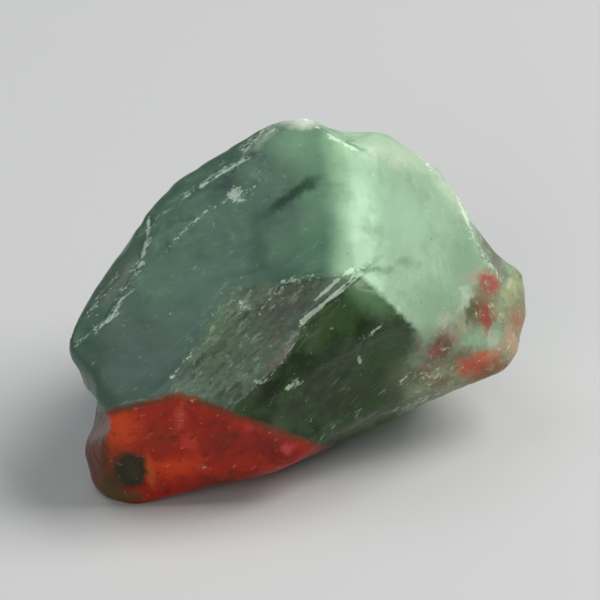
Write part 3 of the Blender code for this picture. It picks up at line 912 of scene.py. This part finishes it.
# The hidden sides: the same greens, with red blots and rusty borders, as such stone has
# all the way through.
hidden_greens = {
    # centre, size, softness, colour, strength
    "back_dark": ((3.0, 13.0, 20.0), (6.0, 5.0, 4.5), 0.8, DEEP_GREEN, 0.9),
    "back_milky": ((-12.0, 8.5, 15.0), (4.0, 4.0, 3.5), 0.8, DULL_GREEN, 0.7),
    "back_pale": ((-2.0, 14.0, 9.0), (4.5, 4.5, 5.0), 0.9, (0.170, 0.290, 0.180), 0.6),
    "back_olive": ((2.0, 13.0, 3.0), (9.0, 5.0, 3.0), 0.9, (0.030, 0.060, 0.028), 0.8),
    "right_back_cream": ((17.0, 8.5, 11.0), (3.0, 3.0, 2.6), 0.7, CREAM, 0.8),
}
unturned = moved(tree, "MULTIPLY", where, PER_MM)
unturned = frayed(frayed(unturned, 4.0, 5.0), 1.0, 1.2)
for centre, size, softness, tone, strength in hidden_greens.values():
    share = share_of(blot, Point=unturned, Centre=centre, Size=size, Softness=softness)
    colour = tinted(both(share, strength), colour, tone)
behind = share_of(seam, Point=wavering, Through=(0.0, 0.0, -1.0), Towards=(0.0, 0.0, -1.0), Softness=3.0)
elsewhere = moved(tree, "ADD", frayed(place, 0.9, 1.0), (20, 0, 0))
red_noise = cloudy(tree, elsewhere, 7.0, 3.0, 0.5).outputs["Fac"]
colour = tinted(both(rise(tree, red_noise, low=0.565, high=0.600), behind, 0.7), colour, RUST)
colour = tinted(both(rise(tree, red_noise, low=0.595, high=0.610), behind), colour, red)

# Bruises, specks and scratches: white where the skin is crushed, thin along the cracks.
BRUISE = (0.520, 0.590, 0.490)
SPECK_PALE = (0.260, 0.350, 0.270)
SPECK_DARK = (0.016, 0.030, 0.020)
KNOCK_GRAIN = 0.6
CRUSHED_GAIN = (1.6, 1.6, 1.6)
CRUSHED_LIFT = (0.20, 0.22, 0.19)
crush_noise = cloudy(tree, place, 0.45, 5.0, 0.7).outputs["Fac"]


def above_noise(amount, noise, depth, low, high):
    """Where an amount, made uneven by noise, rises above a level."""
    uneven_share = worked_out(tree, "MULTIPLY", worked_out(tree, "SUBTRACT", noise, 0.5), depth)
    return rise(tree, worked_out(tree, "ADD", amount, uneven_share), low, high)


bruised = above_noise(edges, crush_noise, 3.0, 0.85, 1.45)
knock_noise = streaky(torn, 46, (1.4, 0.30, 0.30), low=0.0, high=1.0)
knock_noise = worked_out(tree, "ADD", knock_noise, both(crush_noise, KNOCK_GRAIN))
knock_noise = worked_out(tree, "DIVIDE", knock_noise, 1 + KNOCK_GRAIN)
struck_white = above_noise(struck, knock_noise, 4.5, 0.65, 1.20)
gap_noise = cloudy(tree, place, 1.4, 3.0).outputs["Fac"]
crack_noise = worked_out(tree, "ADD", gap_noise, both(worked_out(tree, "SUBTRACT", crush_noise, 0.5), 0.5))
crack_white = above_noise(cracked, crack_noise, 3.4, 0.80, 1.25)
off_band = worked_out(tree, "SUBTRACT", 1.0, both(band, 0.8))
arris_line = both(above_noise(arrises, crush_noise, 3.0, 1.1, 2.0), off_band)
pale_specks = share_of(specks, Point=place, Spacing=0.85, Reach=0.15, Shown=0.22)
other_place = moved(tree, "ADD", place, (5, 9, 2))
dark_specks = share_of(specks, Point=other_place, Spacing=0.9, Reach=0.16, Shown=0.3)
along_break = (0.0, 0.0, BREAK_SLANT)
hairlines = share_of(scratches, Point=place, Turn=along_break, Size=(12.0, 1.3, 1.3), Width=0.010)
hairlines = both(hairlines, worked_out(tree, "SUBTRACT", 1.0, red_part))
colour = tinted(both(pale_specks, 0.45), colour, SPECK_PALE)
colour = tinted(both(dark_specks, 0.5), colour, SPECK_DARK)
colour = tinted(both(hairlines, 0.45), colour, SPECK_PALE)
lightened = moved(tree, "MULTIPLY", colour, CRUSHED_GAIN)
lightened = moved(tree, "ADD", lightened, CRUSHED_LIFT)
crushed_white = tinted(0.5, lightened, BRUISE)
colour = tinted(both(arris_line, 0.5), colour, crushed_white)
colour = tinted(both(crack_white, 0.9), colour, crushed_white)
colour = tinted(both(struck_white, 0.85), colour, crushed_white)
colour = tinted(both(bruised, off_band, 0.75), colour, crushed_white)
tree.links.new(colour, surface.inputs["Base Color"])

# Gloss and grain: waxy where it broke clean, dull where it is crushed or splintered.
dull = either(both(band, 0.7), bruised, struck_white, crack_white)
roughness = put(tree, "MapRange", {"Value": dull, "To Min": 0.30, "To Max": 0.60}).outputs[0]
tree.links.new(roughness, surface.inputs["Roughness"])
grain = cloudy(tree, place, 0.35, 5.0, 0.6).outputs["Fac"]
dents = worked_out(tree, "SUBTRACT", grain, both(dark_specks, 0.8))
dents = worked_out(tree, "SUBTRACT", dents, hairlines)
relief = put(tree, "Bump", {"Strength": 0.5, "Distance": 0.02 * MM, "Height": dents})
tree.links.new(relief.outputs["Normal"], surface.inputs["Normal"])
surface.inputs["IOR"].default_value = 1.54
surface.inputs["Specular IOR Level"].default_value = 0.22
surface.inputs["Subsurface Weight"].default_value = 0.2
surface.inputs["Subsurface Radius"].default_value = (1.0, 1.0, 0.8)
surface.inputs["Subsurface Scale"].default_value = 0.6 * MM
stone.data.materials.append(finish)
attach(stone, "root")
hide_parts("stone")

# The floor: a plain sheet of pale matt board that the stone lies on. It is a hair lower
# than the sole, so that the two don't share a plane.
FLOOR_SIZE = 4
FLOOR_GAP = 0.03
bpy.ops.mesh.primitive_plane_add(size=FLOOR_SIZE, location=(0, 0, -FLOOR_GAP * MM))
floor = bpy.context.object
floor.name = "floor"
floor_finish = bpy.data.materials.new("pale_floor")
floor_finish.use_nodes = True
floor_surface = floor_finish.node_tree.nodes["Principled BSDF"]
floor_surface.inputs["Base Color"].default_value = (0.58, 0.58, 0.57, 1)
floor_surface.inputs["Roughness"].default_value = 0.8
floor_surface.inputs["Specular IOR Level"].default_value = 0.2
floor.data.materials.append(floor_finish)

# The camera: it looks down on the stone at 30 degrees, as the photograph does, through a
# long lens. It stands this many metres away, and its picture is this wide at the stone.
LOOK_AT = Vector((0, -0.4, 13.0)) * MM
CAMERA_DISTANCE = 0.7
SEEN_WIDTH = 52 * MM

bpy.ops.object.camera_add(
    location=LOOK_AT - AWAY * CAMERA_DISTANCE,
    rotation=AWAY.to_track_quat("-Z", "Y").to_euler(),
)
camera = bpy.context.object
camera.data.lens = camera.data.sensor_width * CAMERA_DISTANCE / SEEN_WIDTH
bpy.context.scene.camera = camera

# The light: soft, from a large box high on the right, with a cooler box overhead and a
# weak one in front.
SOFTBOXES = {
    # heading from the stone, distance, width, power, colour
    "key": ((0.6, 0.1, 0.8), 0.55, 0.40, 3.1, (1, 1, 1)),
    "overhead": ((-0.35, 0.2, 0.9), 0.5, 0.30, 0.5, (0.85, 0.93, 1.0)),
    "fill": ((-0.3, -0.85, 0.4), 0.6, 0.40, 1.2, (1, 1, 1)),
}
SKY_STRENGTH = 0.14

for name, (heading, distance, width, power, tone) in SOFTBOXES.items():
    lamp_place = LOOK_AT + Vector(heading).normalized() * distance
    facing_stone = (LOOK_AT - lamp_place).to_track_quat("-Z", "Y").to_euler()
    bpy.ops.object.light_add(type="AREA", location=lamp_place, rotation=facing_stone)
    lamp = bpy.context.object
    lamp.name = name
    lamp.data.size = width
    lamp.data.energy = power
    lamp.data.color = tone
sky = bpy.data.worlds.new("studio")
sky.use_nodes = True
sky.node_tree.nodes["Background"].inputs["Color"].default_value = (1, 1, 1, 1)
sky.node_tree.nodes["Background"].inputs["Strength"].default_value = SKY_STRENGTH
bpy.context.scene.world = sky
bpy.context.scene.view_settings.view_transform = "Standard"
